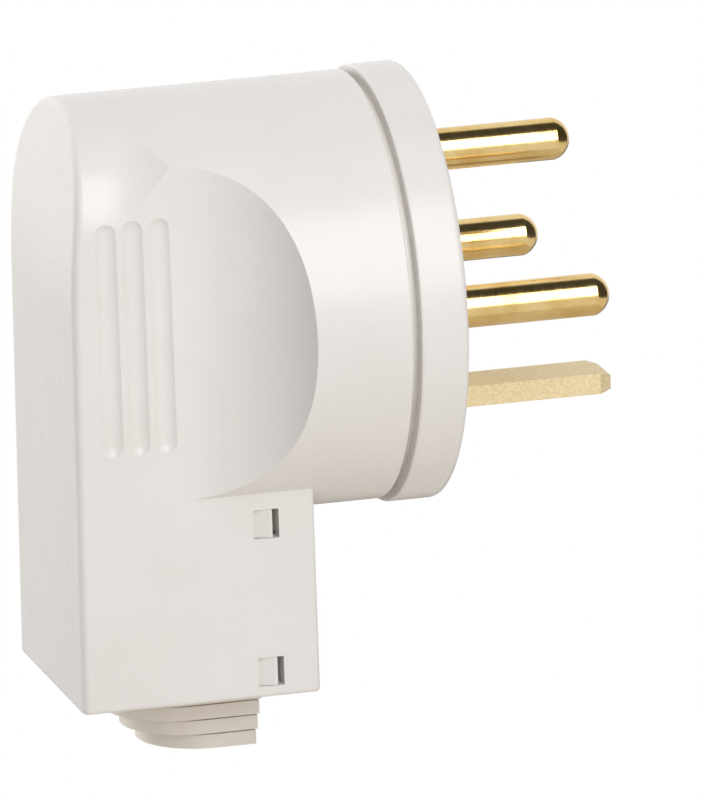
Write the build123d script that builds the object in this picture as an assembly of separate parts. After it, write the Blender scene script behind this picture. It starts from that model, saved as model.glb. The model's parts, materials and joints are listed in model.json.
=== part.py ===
from build123d import *
import os

# Side-entry three-phase plug: three round pins and a flat earth blade.
# Millimetres. The origin is the middle of the front face, +X runs out along the pins,
# +Z is up and the cable leaves downwards. Depths are measured back from the front face.

# Pins and blade
pin_r = 3.0
pin_len = 23.5
pin_dome = 2.3
pin_root_r = 3.6
top_pin_z = 18.3
side_pin_y = 18.8
blade_w = 8.0
blade_t = 3.0
blade_len = 27.6
blade_z = -17.0
blade_bevel = 0.5
blade_taper = 1.6
blade_ear = 1.7
collar_r = 5.0
collar_t = 1.6
pillar_r = 4.2
terminal_depth = 17.0
tail_l = 1.7
post_r = 5.2

# Contact base
pin_margin = 12.2
flange_t = 6.9
flange_edge = 0.9
rim_r = 0.3
shadow_gap = 1.1
gap_depth = 1.5
face_t = 3.6
spigot_l = 7.0
spigot_t = 2.2
rib_t = 2.0

# Housing
flange_step = 0.6
body_depth = 53.85
back_lean = 0.75
crown_z = 4.0
crown_r = 130.0
crown_turn = 45.0
handle_w = 37.2
shoulder_r = 16.0
shoulder_run = 5.0
shoulder_fade = 2.2
block_front = 20.1
block_drop = 53.7
wall = 2.4
floor_t = 1.6
back_r = 1.2
corner_r = 0.8
bottom_r = 0.6

# Finger scoop on each side of the handle
scoop_r = 22.2
scoop_start = 37.0
scoop_lead = 4.6
scoop_blend = 15.0

# Grip grooves
groove_n = 3
groove_lead = 4.05
groove_tail = 5.1
groove_len = 33.8
groove_w = 3.0
groove_depth = 0.6

# Retaining plate, saddles and screws
retainer_t = 2.4
saddle_w = 9.4
saddle_t = 1.4
saddle_lip = 1.2
screw_r = 1.9
screw_head_r = 3.0
screw_head_h = 2.2
slot_w = 0.9
slot_depth = 1.1
terminal_screw_len = 6.0
retainer_screw_len = 7.0
base_screw_len = 22.0
base_screw_sink = 3.4
fixing_off = 11.4
boss_t = 2.0
drill_point = 1.0

# Snap cover of the cable block
cover_t = 2.2
cover_lap = 1.6
window_set = 7.1
window_below = 4.5
window_w = 3.7
window_h = 4.2
hook_slot = 0.95
hook_land = 0.45
hook_dip = 0.8
hinge_depth = 1.1
leg_t = 2.1
leg_tail = 0.3

# Grommet
grommet_set = 6.8
tub_l = 11.5
tier_n = 4
tier_h = 2.3
tier_r = 10.75
tier_step = 0.45
tier_back_step = 2.2
tier_front_step = 0.2
tier_gap = 0.3
tier_gap_depth = 0.7
neck_step = 1.6
lip_t = 2.0
lip_step = 0.2
cable_r = 5.5
cable_set = 8.2

# Cable clamp
clamp_up = 13.0
clamp_inset = 4.3
clamp_set = 10.5
bar_t = 3.4
bar_h = 6.4
bar_hollow_r = 12.0
bar_hollow = 1.1
clamp_screw_len = 13.0
nut_side = 5.0
nut_t = 2.4

# Clearances
fit = 0.05
slack = 0.2

# Places that follow from the sizes above
flange_r = side_pin_y + pin_margin
barrel_r = flange_r - flange_step
handle_y = handle_w / 2
inner_y = handle_y - wall
fade_x = shoulder_run - body_depth
floor_z = floor_t - block_drop
seat_x = -(flange_t + shadow_gap)
collar_x = seat_x - collar_t
retainer_x = collar_x - retainer_t
tail_x = retainer_x - tail_l
saddle_x = -terminal_depth - saddle_t
spigot_r = barrel_r - wall - slack
ring_r = spigot_r - spigot_t
boss_r = screw_r + boss_t
cover_x = -block_front - cover_t
window_x = -block_front - window_set
junction_z = (barrel_r**2 - handle_y**2) ** 0.5
window_zs = (-junction_z - window_below, floor_z + window_h / 2)
grommet_front = block_front + grommet_set
grommet_axis = grommet_front + tub_l
neck_r = tier_r - neck_step
cable_x = -grommet_front - cable_set
clamp_x = -block_front - clamp_set
clamp_y = inner_y - clamp_inset
clamp_z = clamp_up - block_drop
line_pins = {"top": (0, top_pin_z), "left": (side_pin_y, 0), "right": (-side_pin_y, 0)}
terminals = {**line_pins, "earth": (0, blade_z)}
base_fixings = ((fixing_off, fixing_off), (-fixing_off, -fixing_off))
retainer_fixings = ((-fixing_off, fixing_off), (fixing_off, -fixing_off))
clamp_fixings = ((clamp_y, clamp_z), (-clamp_y, clamp_z))
reach = body_depth + block_drop


def span(x0, x1, y0, y1, z0, z1):
    """Box between two corners."""
    middle = Pos((x0 + x1) / 2, (y0 + y1) / 2, (z0 + z1) / 2)
    return middle * Box(abs(x1 - x0), abs(y1 - y0), abs(z1 - z0))


def rod(radius, x0, x1, y=0, z=0):
    """Cylinder along X."""
    return Pos((x0 + x1) / 2, y, z) * Rot(0, 90, 0) * Cylinder(radius, abs(x1 - x0))


def bar(width, height, x0, x1, z):
    """Flat bar along X, level and in the middle plane."""
    return span(x0, x1, -width / 2, width / 2, z - height / 2, z + height / 2)


def both_sides(cut):
    """A cut on the +Y side and its mirror image."""
    return [cut, mirror(cut, Plane.XZ)]


def behind_back(offset):
    """Everything behind the leaning and gently crowned back, moved forward by offset."""
    foot = PolarLine((offset - body_depth, crown_z), 2 * reach, -90 - back_lean)
    crown = JernArc(foot @ 0, -(foot % 0), crown_r, -crown_turn)
    behind = Polyline(crown @ 1, (-2 * reach, (crown @ 1).Y), (-2 * reach, (foot @ 1).Y), foot @ 1)
    return extrude(Plane.XZ * make_face([foot, crown, behind]), reach, both=True)


def beside_handle(offset):
    """What the flat sides and the finger scoops take off the barrel, moved inwards by offset."""
    flat = handle_y - offset
    axis = Vector(-scoop_start - scoop_lead, handle_y + (scoop_r**2 - scoop_lead**2) ** 0.5)
    plan = Pos(axis.X - reach / 2, flat + reach / 2) * Rectangle(reach, reach)
    scoop = Pos(axis) * Circle(scoop_r + offset)
    plan += scoop & Pos(axis.X + reach / 2, flat + reach / 2) * Rectangle(reach, reach)
    crease = plan.vertices().filter_by_position(Axis.Y, flat - fit, flat + fit).sort_by(Axis.X)[-1]
    return both_sides(extrude(fillet(crease, scoop_blend + offset), reach, both=True))


def arch(offset):
    """Rear of the handle above the cable block, with eased shoulders, moved inwards by offset."""
    section = Circle(barrel_r - offset) & Rectangle(2 * (handle_y - offset), 2 * barrel_r)
    section = fillet(section.vertices().group_by(Axis.Y)[-1], shoulder_r - offset)
    return extrude(Plane.YZ.offset(fade_x) * section, -shoulder_run - wall)


def shoulders(offset):
    """What eases the corners in front of the arch, less and less towards the scoops."""
    side = handle_y - shoulder_r
    rise = ((barrel_r - shoulder_r) ** 2 - side**2) ** 0.5
    out = Vector(shoulder_r, junction_z - rise)
    far = out.length
    corner = Polyline((0, 0), (far, 0), (far, far), (far * side / rise, far), close=True)
    ring = Circle(out.length + fit) - Circle(shoulder_r - offset)
    section = Pos(side, rise) * (make_face(corner) & ring)
    path = Vector(-scoop_start - shoulder_fade - fade_x, out.length - shoulder_r)
    bend = path.length**2 / (2 * path.Y)
    turn = 2 * path.get_angle(Vector(1, 0))
    centre = Vector(side, rise) + out.normalized() * (bend + shoulder_r)
    hub = Axis((fade_x, centre.X, centre.Y), (0, -out.Y, out.X))
    return both_sides(revolve(Plane.YZ.offset(fade_x) * section, hub, turn))


def outline(faces):
    """Edges around a group of faces that meet smoothly."""
    edges = [edge for face in faces for edge in face.edges()]
    return [edge for edge in edges if sum(edge.is_same(other) for other in edges) == 1]


def tub(radius, axis, front, z0, z1):
    """Upright plate of the grommet: round behind, flat in front."""
    plan = Pos(-axis, 0) * Circle(radius)
    plan += Pos((-axis - front) / 2, 0) * Rectangle(axis - front, 2 * radius)
    plan -= Pos(radius - front, 0) * Rectangle(2 * radius, 2 * radius)
    return Pos(0, 0, z0) * extrude(plan, z1 - z0)


def housing_outside():
    """Barrel, handle and cable block as one solid lump, with rounded outer edges."""
    body = rod(barrel_r, fade_x, seat_x)
    mouth = body.edges().filter_by(GeomType.CIRCLE).sort_by(Axis.X)[-1]
    body = fillet([mouth], rim_r) - beside_handle(0) - shoulders(0) + arch(0)
    body += span(-body_depth - wall, -block_front, -handle_y, handle_y, -block_drop, 0)
    body -= behind_back(0)
    back = outline([face for face in body.faces() if face.normal_at().X < -0.9])
    body = fillet([edge for edge in back if edge.center().Z > floor_z], back_r)
    upright = body.edges().filter_by(Axis.Z)
    body = fillet([edge for edge in upright if abs(edge.center().X + block_front) < fit], corner_r)
    return fillet(body.faces().sort_by(Axis.Z)[0].edges(), bottom_r)


def housing_inside():
    """Hollow of the barrel, the handle and the cable block."""
    room = rod(barrel_r - wall, fade_x, seat_x) - beside_handle(wall) - shoulders(wall) + arch(wall)
    room += span(-body_depth - wall, -block_front, -inner_y, inner_y, floor_z, 0)
    return room - behind_back(wall)


def grip_grooves():
    """Shallow hollows with round ends in both flat sides."""
    radius = (groove_w**2 / 4 + groove_depth**2) / (2 * groove_depth)
    straight = groove_len - groove_w
    pitch = (body_depth - scoop_start - groove_lead - groove_tail) / (groove_n - 1)
    cuts = []
    for side in (1, -1):
        y = side * (handle_y - groove_depth + radius)
        for i in range(groove_n):
            x = -scoop_start - groove_lead - i * pitch
            ends = [Pos(0, 0, end * straight / 2) * Sphere(radius) for end in (1, -1)]
            cuts.append(Pos(x, y, 0) * (Cylinder(radius, straight) + ends))
    return cuts


def snap_windows():
    """Openings in both side walls for the hooks of the snap cover."""
    x0, x1 = window_x - window_w / 2, window_x + window_w / 2
    half = window_h / 2
    return [
        span(x0, x1, side * inner_y, side * (handle_y + wall), z - half, z + half)
        for side in (1, -1)
        for z in window_zs
    ]


def nut_at(y, z, gap=0):
    """Square nut behind the face of a clamp post."""
    front = clamp_x - boss_t
    half = nut_side / 2 + gap
    return span(front - nut_t - gap, front + gap, y - half, y + half, z - half, z + half)


def cable_cradle():
    """Rib between the clamp posts, hollowed to the cable's radius."""
    half = bar_h / 2
    rib = span(-body_depth - wall, cable_x, -clamp_y, clamp_y, clamp_z - half, clamp_z + half)
    return rib - Pos(cable_x, 0, clamp_z) * Cylinder(cable_r, 2 * bar_h)


def housing():
    """Moulded shell with columns for the base screws and posts and a cradle for the cable clamp."""
    body = housing_outside() - housing_inside()
    inner = [rod(boss_r, -body_depth - wall, seat_x, y, z) for y, z in base_fixings]
    inner += [rod(boss_r, -body_depth - wall, clamp_x, y, z) for y, z in clamp_fixings]
    body += [piece - behind_back(wall / 2) for piece in inner + [cable_cradle()]]
    base_end = -base_screw_sink - base_screw_len - drill_point
    clamp_end = clamp_x + bar_t - clamp_screw_len - drill_point
    holes = [rod(screw_r + fit, base_end, seat_x, y, z) for y, z in base_fixings]
    holes += [rod(screw_r + fit, clamp_end, clamp_x, y, z) for y, z in clamp_fixings]
    for y, z in clamp_fixings:
        holes += [nut_at(y, z, fit), nut_at(y, z - nut_side, fit)]
    body -= holes + grip_grooves() + snap_windows()
    return body - tub(neck_r + slack, grommet_axis, 0, -block_drop, floor_z)


def contact_base():
    """Front disc, cored from behind around bosses and ribs, with a spigot for the barrel."""
    disc = rod(flange_r, -flange_t, 0)
    disc = fillet(disc.edges().filter_by(GeomType.CIRCLE).sort_by(Axis.X)[-1:], flange_edge)
    disc = fillet(disc.edges().filter_by(GeomType.CIRCLE).sort_by(Axis.X)[:1], rim_r)
    body = disc + rod(barrel_r - gap_depth, seat_x, -flange_t)
    body += rod(spigot_r, seat_x - spigot_l, seat_x) - rod(ring_r, seat_x - spigot_l, seat_x)
    bosses = [rod(collar_r, seat_x, -face_t, y, z) for y, z in line_pins.values()]
    bosses += [rod(screw_head_r + boss_t, seat_x, -face_t, y, z) for y, z in base_fixings + retainer_fixings]
    bosses.append(bar(blade_w + 2 * boss_t, blade_t + 2 * boss_t, seat_x, -face_t, blade_z))
    bosses.append(span(seat_x, -face_t, -rib_t / 2, rib_t / 2, -barrel_r, barrel_r))
    bosses.append(span(seat_x, -face_t, -barrel_r, barrel_r, -rib_t / 2, rib_t / 2))
    body -= rod(ring_r, seat_x, -face_t) - bosses
    holes = [rod(pin_root_r + fit, seat_x, 0, y, z) for y, z in line_pins.values()]
    holes.append(bar(blade_w + 2 * fit, blade_t + 2 * fit, seat_x, 0, blade_z))
    for y, z in base_fixings:
        holes += [rod(screw_r + fit, seat_x, 0, y, z), rod(screw_head_r + slack, -base_screw_sink, 0, y, z)]
    holes += [rod(screw_r + fit, seat_x, retainer_x + retainer_screw_len, y, z) for y, z in retainer_fixings]
    return body - holes


def line_pin(y, z):
    """Turned pin with a domed end, a thicker root, a collar and a tapped terminal."""
    dome_r = (pin_r**2 + pin_dome**2) / (2 * pin_dome)
    body = rod(pin_r, 0, pin_len, y, z) & Pos(pin_len - dome_r, y, z) * Sphere(dome_r)
    body += rod(pin_r, 0, pin_len - pin_dome, y, z)
    body += rod(pin_root_r, seat_x, 0, y, z)
    body += rod(collar_r, collar_x, seat_x, y, z)
    body += rod(pillar_r, -terminal_depth, collar_x, y, z)
    return body - rod(screw_r + fit, -terminal_depth, saddle_x + terminal_screw_len + slack, y, z)


def earth_blade():
    """Flat blade with a bevelled tip, ears behind the base and a tail for its terminal."""
    body = bar(blade_w, blade_t, seat_x, blade_len, blade_z)
    tip = body.faces().sort_by(Axis.X)[-1]
    body = chamfer(tip.edges(), blade_bevel, blade_taper, reference=tip)
    body += bar(blade_w + 2 * blade_ear, blade_t, collar_x, seat_x, blade_z)
    return body + bar(blade_w, blade_t, tail_x, collar_x, blade_z)


def earth_terminal():
    """Post staked on the tail of the blade, tapped from behind."""
    body = rod(post_r, -terminal_depth, retainer_x, 0, blade_z)
    body -= bar(blade_w + 2 * fit, blade_t + 2 * fit, tail_x - fit, retainer_x, blade_z)
    return body - rod(screw_r + fit, -terminal_depth, tail_x - fit, 0, blade_z)


def pin_retainer():
    """Plate that traps the collars and ears against the base."""
    plate = rod(ring_r - slack, retainer_x, collar_x)
    holes = [rod(pillar_r + slack, retainer_x, collar_x, y, z) for y, z in line_pins.values()]
    holes += [rod(boss_r + slack, retainer_x, collar_x, y, z) for y, z in base_fixings]
    holes += [rod(screw_r + slack, retainer_x, collar_x, y, z) for y, z in retainer_fixings]
    holes.append(bar(blade_w + 2 * slack, blade_t + 2 * slack, retainer_x, collar_x, blade_z))
    return plate - holes


def wire_saddle(y, z):
    """Square saddle with two turned edges that keep the wire under the screw."""
    half = saddle_w / 2
    plate = span(saddle_x, -terminal_depth, y - half, y + half, z - half, z + half)
    for low, high in ((-half, saddle_t - half), (half - saddle_t, half)):
        plate += span(saddle_x - saddle_lip, saddle_x, y + low, y + high, z - half, z + half)
    return plate - rod(screw_r + slack, saddle_x, -terminal_depth, y, z)


def screw(seat, length, y, z, way):
    """Slotted cheese-head screw along X that points the given way, with its head behind the seat."""
    head_end = seat - way * screw_head_h
    body = rod(screw_head_r, head_end, seat, y, z) + rod(screw_r, seat, seat + way * length, y, z)
    slot = Pos(head_end + way * slot_depth / 2, y, z) * Box(slot_depth, 3 * screw_head_r, slot_w)
    return body - slot


def terminal_screws():
    """One for each pin, and a shorter one that stops at the blade's tail."""
    screws = [screw(saddle_x, terminal_screw_len, y, z, 1) for y, z in line_pins.values()]
    return screws + [screw(saddle_x, tail_x - slack - saddle_x, 0, blade_z, 1)]


def retainer_screws():
    return [screw(retainer_x, retainer_screw_len - slack, y, z, 1) for y, z in retainer_fixings]


def base_screws():
    return [screw(-base_screw_sink, base_screw_len, y, z, -1) for y, z in base_fixings]


def clamp_screws():
    return [screw(clamp_x + bar_t, clamp_screw_len, y, z, -1) for y, z in clamp_fixings]


def clamp_nuts():
    return [nut_at(y, z) - rod(screw_r + fit, -reach, 0, y, z) for y, z in clamp_fixings]


def cable_clamp_bar():
    """Bar with round ends on the two posts, hollowed towards the cable."""
    plan = Rot(0, 0, 90) * SlotCenterToCenter(2 * clamp_y, bar_h)
    body = Pos(clamp_x, 0, clamp_z) * Rot(0, 90, 0) * extrude(plan, bar_t)
    body -= Pos(clamp_x + bar_hollow - bar_hollow_r, 0, clamp_z) * Cylinder(bar_hollow_r, 2 * bar_h)
    return body - [rod(screw_r + slack, clamp_x, clamp_x + bar_t, y, z) for y, z in clamp_fixings]


def snap_leg(side, z):
    """Leg along a side wall, with a thin hinge and a hook that fills the rear of its window."""
    face = inner_y - slack
    half = window_h / 2 - fit
    nose = window_x - window_w / 2 + fit
    catch = window_x + window_w / 2 - hook_slot
    leg = span(nose - leg_tail, cover_x, side * (face - leg_t), side * face, z - half, z + half)
    leg -= span(catch, catch + hook_slot, side * (face - hinge_depth), side * face, z - half, z + half)
    top = side * (handle_y - fit)
    dip = top - side * hook_dip
    foot = side * (face - fit)
    ramp = [(nose, foot), (nose, dip), (catch - hook_land, top), (catch, top), (catch, foot)]
    return leg + Pos(0, 0, z) * extrude(make_face(Polyline(ramp, close=True)), half, both=True)


def snap_cover():
    """Front of the cable block: a plate, a tongue in front of the grommet and four hooked legs."""
    half = inner_y - slack
    top = cover_lap + wall - barrel_r
    body = span(cover_x, -block_front, -half, half, floor_z + fit, top)
    body += span(fit - grommet_front, -block_front, -neck_r, neck_r, -block_drop, floor_z + cover_t)
    return body + [snap_leg(side, z) for side in (1, -1) for z in window_zs]


def cable_grommet():
    """Stepped grommet: a lip inside the block, a neck in its floor and tiers that shrink downwards."""
    body = tub(tier_r + lip_step, grommet_axis, grommet_front, floor_z, floor_z + lip_t)
    body += tub(neck_r, grommet_axis, grommet_front, -block_drop, floor_z)
    for i in range(tier_n):
        top = -block_drop - i * tier_h
        axis = grommet_axis - i * (tier_back_step - tier_step)
        front = grommet_front + i * tier_front_step
        radius = tier_r - i * tier_step
        body += tub(radius - tier_gap_depth, axis, front + tier_gap_depth, top - tier_gap, top)
        body += tub(radius, axis, front, top - tier_h, top - tier_gap)
    return body - Pos(cable_x, 0, -block_drop) * Cylinder(cable_r, reach)


def save(node, shape):
    """Write one node: a piece, or a list of like pieces."""
    pieces = shape if isinstance(shape, list) else [shape]
    export_step(Compound(children=[piece.solid() for piece in pieces]), f"parts/{node}.step")


os.makedirs("parts", exist_ok=True)
for name, (pin_y, pin_z) in line_pins.items():
    save(f"line_pin_{name}", line_pin(pin_y, pin_z))
for name, (saddle_y, saddle_z) in terminals.items():
    save(f"wire_saddle_{name}", wire_saddle(saddle_y, saddle_z))
for make in (
    housing,
    contact_base,
    earth_blade,
    earth_terminal,
    pin_retainer,
    terminal_screws,
    retainer_screws,
    base_screws,
    snap_cover,
    cable_grommet,
    cable_clamp_bar,
    clamp_screws,
    clamp_nuts,
):
    save(make.__name__, make())
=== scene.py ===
"""Looks of a side-entry plug: ivory moulded plastic, brass, plated steel and soft rubber."""

import json
import math

import bpy
from mathutils import Matrix, Vector


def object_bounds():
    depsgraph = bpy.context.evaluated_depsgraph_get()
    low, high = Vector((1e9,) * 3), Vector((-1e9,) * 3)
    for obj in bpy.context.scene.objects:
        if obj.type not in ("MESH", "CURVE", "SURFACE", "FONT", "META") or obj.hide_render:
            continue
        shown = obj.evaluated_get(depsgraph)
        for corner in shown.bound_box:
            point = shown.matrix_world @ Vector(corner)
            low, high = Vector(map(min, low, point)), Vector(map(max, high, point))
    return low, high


# Camera: its direction from the part, its roll, and the point that it aims at,
# in metres right of and above the part's origin in the picture plane
CAMERA_AZIMUTH = math.radians(14.35)
CAMERA_ELEVATION = math.radians(14.48)
CAMERA_ROLL = math.radians(2.03)
CAMERA_DISTANCE = 2.259
CAMERA_AIM = (-0.0085, -0.0172)
CAMERA_LENS = 720
CAMERA_SENSOR = 36

# Colours, linear
IVORY = (0.81, 0.78, 0.75)
IVORY_DEEP = (0.79, 0.755, 0.72)
RUBBER = (0.76, 0.71, 0.64)
RUBBER_DEEP = (0.70, 0.64, 0.56)
BRASS = (0.86, 0.65, 0.31)
BRASS_DEEP = (0.73, 0.49, 0.17)
MILLED = (0.90, 0.78, 0.52)
MILLED_DEEP = (0.78, 0.62, 0.35)
STEEL = (0.62, 0.62, 0.60)
STEEL_DEEP = (0.50, 0.50, 0.49)
GREY = (0.23, 0.23, 0.23)
GREY_DEEP = (0.19, 0.19, 0.19)

# Noise: its detail, and the middle of its range, which is stretched to the values of a finish
GRAIN_DETAIL = 1.0
MOTTLE_DETAIL = 2.0
NOISE_LOW = 0.3
NOISE_HIGH = 0.7

# Floor: its distance below the part, its side, and its colours to the camera and as a light
FLOOR_DROP = 0.14
FLOOR_SIZE = 0.46
FLOOR_ROUGHNESS = 0.9
FLOOR_COLOUR = (0.90, 0.90, 0.90)
FLOOR_BOUNCE = (0.73, 0.67, 0.59)

# Surroundings: strengths of the light, the directions WAY that it changes along,
# and the RANGE of each direction in which it changes
CAMERA_WHITE = 1.0
WALL = 0.5
WALL_MIRRORED = 1.0
WALL_WAY = (-0.15, 1, 0)
WALL_RANGE = (0.24, 0.40)
ROOM = 0.06
TABLE_NEAR = 0.85
TABLE_FAR = 0.10
TABLE_WAY = (0.3, -0.95, 0)
TABLE_RANGE = (-0.85, 0.30)

# Edge of the table: its heights in front and behind, its dip ahead of the pins, and its blur
EDGE_HEIGHTS = (0.10, -0.24)
EDGE_RANGE = (0.0, 0.5)
DIP = -0.35
DIP_WAY = (1, 0, 0)
DIP_RANGE = (0.55, 0.95)
EDGE_BLUR = (0.02, -0.012)
UP = (0, 0, 1)

# Lamps, in metres and watts, and whether glossy surfaces mirror them
LAMPS = (
    {"name": "key", "place": (0.24, -1.06, 0.61), "size": (0.6, 1.05), "power": 9.9, "mirrored": True},
    {"name": "rim", "place": (-0.72, 0.70, 0.08), "size": (0.5, 0.5), "power": 7.5, "mirrored": False},
    {"name": "top", "place": (-0.1, -0.1, 1.2), "size": (0.8, 0.8), "power": 6.0, "mirrored": False},
)


def new_shader(name):
    """A material with one shader: the material, its node tree and the shader node."""
    material = bpy.data.materials.new(name)
    material.use_nodes = True
    tree = material.node_tree
    return material, tree, tree.nodes["Principled BSDF"]


def add_node(tree, kind, inputs=None, **settings):
    """A node with its settings and socket values; a value that is a socket is linked."""
    node = tree.nodes.new(kind)
    for key, value in settings.items():
        setattr(node, key, value)
    for key, value in (inputs or {}).items():
        if isinstance(value, bpy.types.NodeSocket):
            tree.links.new(value, node.inputs[key])
        else:
            node.inputs[key].default_value = value
    return node


def noise(tree, place, size, detail):
    """Noise with grains of about the given size in metres."""
    sockets = {"Vector": place, "Scale": 1 / size, "Detail": detail}
    return add_node(tree, "ShaderNodeTexNoise", sockets).outputs["Fac"]


def remap(tree, value, low, high):
    """Stretches the middle of a noise to a range."""
    sockets = {"Value": value, "From Min": NOISE_LOW, "From Max": NOISE_HIGH, "To Min": low, "To Max": high}
    return add_node(tree, "ShaderNodeMapRange", sockets).outputs["Result"]


def mix_colour(tree, factor, one, two):
    """A colour between one and two."""
    mix = add_node(tree, "ShaderNodeMix", data_type="RGBA")
    tree.links.new(factor, mix.inputs["Factor"])
    mix.inputs["A"].default_value = (*one, 1)
    mix.inputs["B"].default_value = (*two, 1)
    return mix.outputs["Result"]


def mix_value(tree, factor, one, two):
    """A number between one and two."""
    return add_node(tree, "ShaderNodeMix", {"Factor": factor, "A": one, "B": two}).outputs["Result"]


def calculate(tree, operation, one, two):
    """The result of an operation on two numbers."""
    return add_node(tree, "ShaderNodeMath", {0: one, 1: two}, operation=operation).outputs["Value"]


def ramp(tree, value, start, end, low, high):
    """A smooth step of a value from low at start to high at end."""
    sockets = {"Value": value, "From Min": start, "From Max": end, "To Min": low, "To Max": high}
    return add_node(tree, "ShaderNodeMapRange", sockets, interpolation_type="SMOOTHSTEP").outputs["Result"]


def along(tree, way, axis):
    """How far a direction points along an axis."""
    sockets = {0: way, 1: axis}
    return add_node(tree, "ShaderNodeVectorMath", sockets, operation="DOT_PRODUCT").outputs["Value"]


def finish(name, colours, roughness, grain, mottle, bump, stretch=(1, 1, 1), **constants):
    """A material of two close tones, with grains that vary its gloss and raise its surface."""
    material, tree, shader = new_shader(name)
    place = add_node(tree, "ShaderNodeTexCoord").outputs["Object"]
    stretched = add_node(tree, "ShaderNodeMapping", {"Vector": place, "Scale": stretch}).outputs["Vector"]
    grains = noise(tree, stretched, grain, GRAIN_DETAIL)
    tones = remap(tree, noise(tree, place, mottle, MOTTLE_DETAIL), 0, 1)
    tree.links.new(mix_colour(tree, tones, *colours), shader.inputs["Base Color"])
    tree.links.new(remap(tree, grains, *roughness), shader.inputs["Roughness"])
    relief = add_node(tree, "ShaderNodeBump", {"Height": grains, "Strength": 1.0, "Distance": bump})
    tree.links.new(relief.outputs["Normal"], shader.inputs["Normal"])
    for socket, value in constants.items():
        shader.inputs[socket].default_value = value
    return material


def materials():
    """One finish for each material slot of the record, and one for the blade, milled and not turned."""
    return {
        "shell": finish(
            "ivory_plastic",
            (IVORY, IVORY_DEEP),
            roughness=(0.27, 0.35),
            grain=0.00035,
            mottle=0.012,
            bump=0.000005,
            IOR=1.48,
        ),
        "grommet": finish(
            "ivory_rubber",
            (RUBBER, RUBBER_DEEP),
            roughness=(0.55, 0.7),
            grain=0.0004,
            mottle=0.006,
            bump=0.00002,
        ),
        "pins": finish(
            "turned_brass",
            (BRASS, BRASS_DEEP),
            roughness=(0.14, 0.23),
            grain=0.0012,
            mottle=0.004,
            bump=0.000003,
            stretch=(4, 1, 1),
            Metallic=1.0,
        ),
        "earth_blade": finish(
            "milled_brass",
            (MILLED, MILLED_DEEP),
            roughness=(0.46, 0.62),
            grain=0.00028,
            mottle=0.0003,
            bump=0.00003,
            Metallic=1.0,
        ),
        "fasteners": finish(
            "plated_steel",
            (STEEL, STEEL_DEEP),
            roughness=(0.25, 0.38),
            grain=0.0003,
            mottle=0.003,
            bump=0.000002,
            Metallic=1.0,
        ),
        "inserts": finish(
            "grey_plastic",
            (GREY, GREY_DEEP),
            roughness=(0.42, 0.52),
            grain=0.0003,
            mottle=0.006,
            bump=0.00001,
        ),
    }


def dress(nodes, record):
    """Gives each solid a finish of its own where it has one, and otherwise the finish of its slot."""
    finishes = materials()
    for subpart in record["subparts"]:
        piece = nodes[subpart["node"]]
        piece.data.materials.clear()
        piece.data.materials.append(finishes.get(subpart["node"], finishes[subpart["material_slot"]]))


def add_camera():
    """A long lens at the photograph's viewing angle."""
    turn, lift, roll = CAMERA_AZIMUTH, CAMERA_ELEVATION, CAMERA_ROLL
    right = Vector((math.cos(turn), -math.sin(turn), 0))
    up = Vector((math.sin(turn) * math.sin(lift), math.cos(turn) * math.sin(lift), math.cos(lift)))
    back = right.cross(up)
    right, up = right * math.cos(roll) - up * math.sin(roll), right * math.sin(roll) + up * math.cos(roll)
    data = bpy.data.cameras.new("camera")
    data.lens = CAMERA_LENS
    data.sensor_fit = "VERTICAL"
    data.sensor_height = CAMERA_SENSOR
    camera = bpy.data.objects.new("camera", data)
    place = right * CAMERA_AIM[0] + up * CAMERA_AIM[1] + back * CAMERA_DISTANCE
    camera.matrix_world = Matrix.Translation(place) @ Matrix((right, up, back)).transposed().to_4x4()
    bpy.context.scene.collection.objects.link(camera)
    bpy.context.scene.camera = camera


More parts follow.
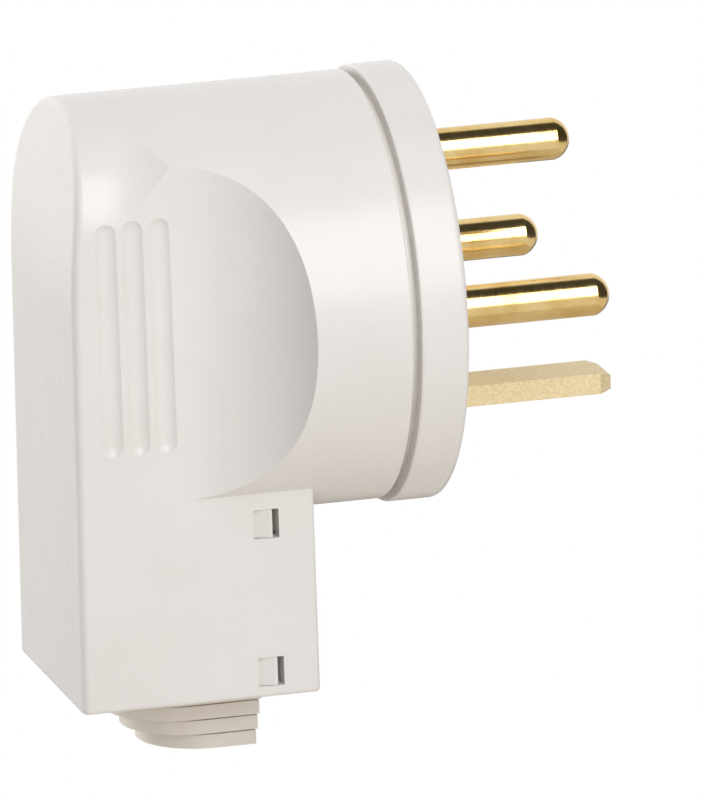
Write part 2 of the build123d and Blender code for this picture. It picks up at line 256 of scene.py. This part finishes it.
def add_world():
    """White to the camera; as a light, a white wall behind, a dark room in front and a table below."""
    world = bpy.data.worlds.new("studio")
    world.use_nodes = True
    tree = world.node_tree
    background = tree.nodes["Background"]
    background.inputs["Color"].default_value = (1, 1, 1, 1)
    way = add_node(tree, "ShaderNodeTexCoord").outputs["Generated"]
    rays = add_node(tree, "ShaderNodeLightPath").outputs
    mirrored = calculate(tree, "MAXIMUM", rays["Is Glossy Ray"], rays["Is Transmission Ray"])
    white = mix_value(tree, mirrored, WALL, WALL_MIRRORED)
    to_wall = along(tree, way, WALL_WAY)
    wall = ramp(tree, to_wall, *WALL_RANGE, ROOM, white)
    table = ramp(tree, along(tree, way, TABLE_WAY), *TABLE_RANGE, TABLE_FAR, TABLE_NEAR)
    slope = ramp(tree, to_wall, *EDGE_RANGE, *EDGE_HEIGHTS)
    dip = ramp(tree, along(tree, way, DIP_WAY), *DIP_RANGE, 0, DIP)
    edge = calculate(tree, "ADD", slope, dip)
    height = calculate(tree, "SUBTRACT", along(tree, way, UP), edge)
    below = ramp(tree, height, *EDGE_BLUR, 0, 1)
    light = mix_value(tree, below, wall, table)
    strength = mix_value(tree, rays["Is Camera Ray"], light, CAMERA_WHITE)
    tree.links.new(strength, background.inputs["Strength"])
    bpy.context.scene.world = world


def add_floor():
    """A pale floor below the part, which hangs in its own frame; its bounce is that of a warm table top."""
    mesh = bpy.data.meshes.new("floor")
    half = FLOOR_SIZE / 2
    z = cad_box[0][2] - FLOOR_DROP
    corners = [(-half, -half, z), (half, -half, z), (half, half, z), (-half, half, z)]
    mesh.from_pydata(corners, [], [(0, 1, 2, 3)])
    floor = bpy.data.objects.new("floor", mesh)
    material, tree, shader = new_shader("floor_paint")
    seen = add_node(tree, "ShaderNodeLightPath").outputs["Is Camera Ray"]
    tree.links.new(mix_colour(tree, seen, FLOOR_BOUNCE, FLOOR_COLOUR), shader.inputs["Base Color"])
    shader.inputs["Roughness"].default_value = FLOOR_ROUGHNESS
    mesh.materials.append(material)
    bpy.context.scene.collection.objects.link(floor)


def add_lamp(name, place, size, power, mirrored):
    """A soft rectangular lamp that points at the part's origin."""
    data = bpy.data.lights.new(name, "AREA")
    data.shape = "RECTANGLE"
    data.size, data.size_y = size
    data.energy = power
    lamp = bpy.data.objects.new(name, data)
    lamp.location = place
    lamp.rotation_euler = (-Vector(place)).to_track_quat("-Z", "Y").to_euler()
    lamp.visible_glossy = mirrored
    bpy.context.scene.collection.objects.link(lamp)


with open("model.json") as file:
    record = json.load(file)
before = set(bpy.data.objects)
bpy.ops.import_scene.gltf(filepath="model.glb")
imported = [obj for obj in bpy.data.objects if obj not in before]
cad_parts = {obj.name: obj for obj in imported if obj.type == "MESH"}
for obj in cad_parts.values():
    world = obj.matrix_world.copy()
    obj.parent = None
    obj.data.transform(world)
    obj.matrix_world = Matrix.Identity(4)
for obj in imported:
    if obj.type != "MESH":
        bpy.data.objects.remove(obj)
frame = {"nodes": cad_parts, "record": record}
cad_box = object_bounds()
dress(frame["nodes"], frame["record"])
add_camera()
add_world()
add_floor()
for lamp in LAMPS:
    add_lamp(**lamp)
bpy.context.scene.view_settings.view_transform = "Standard"
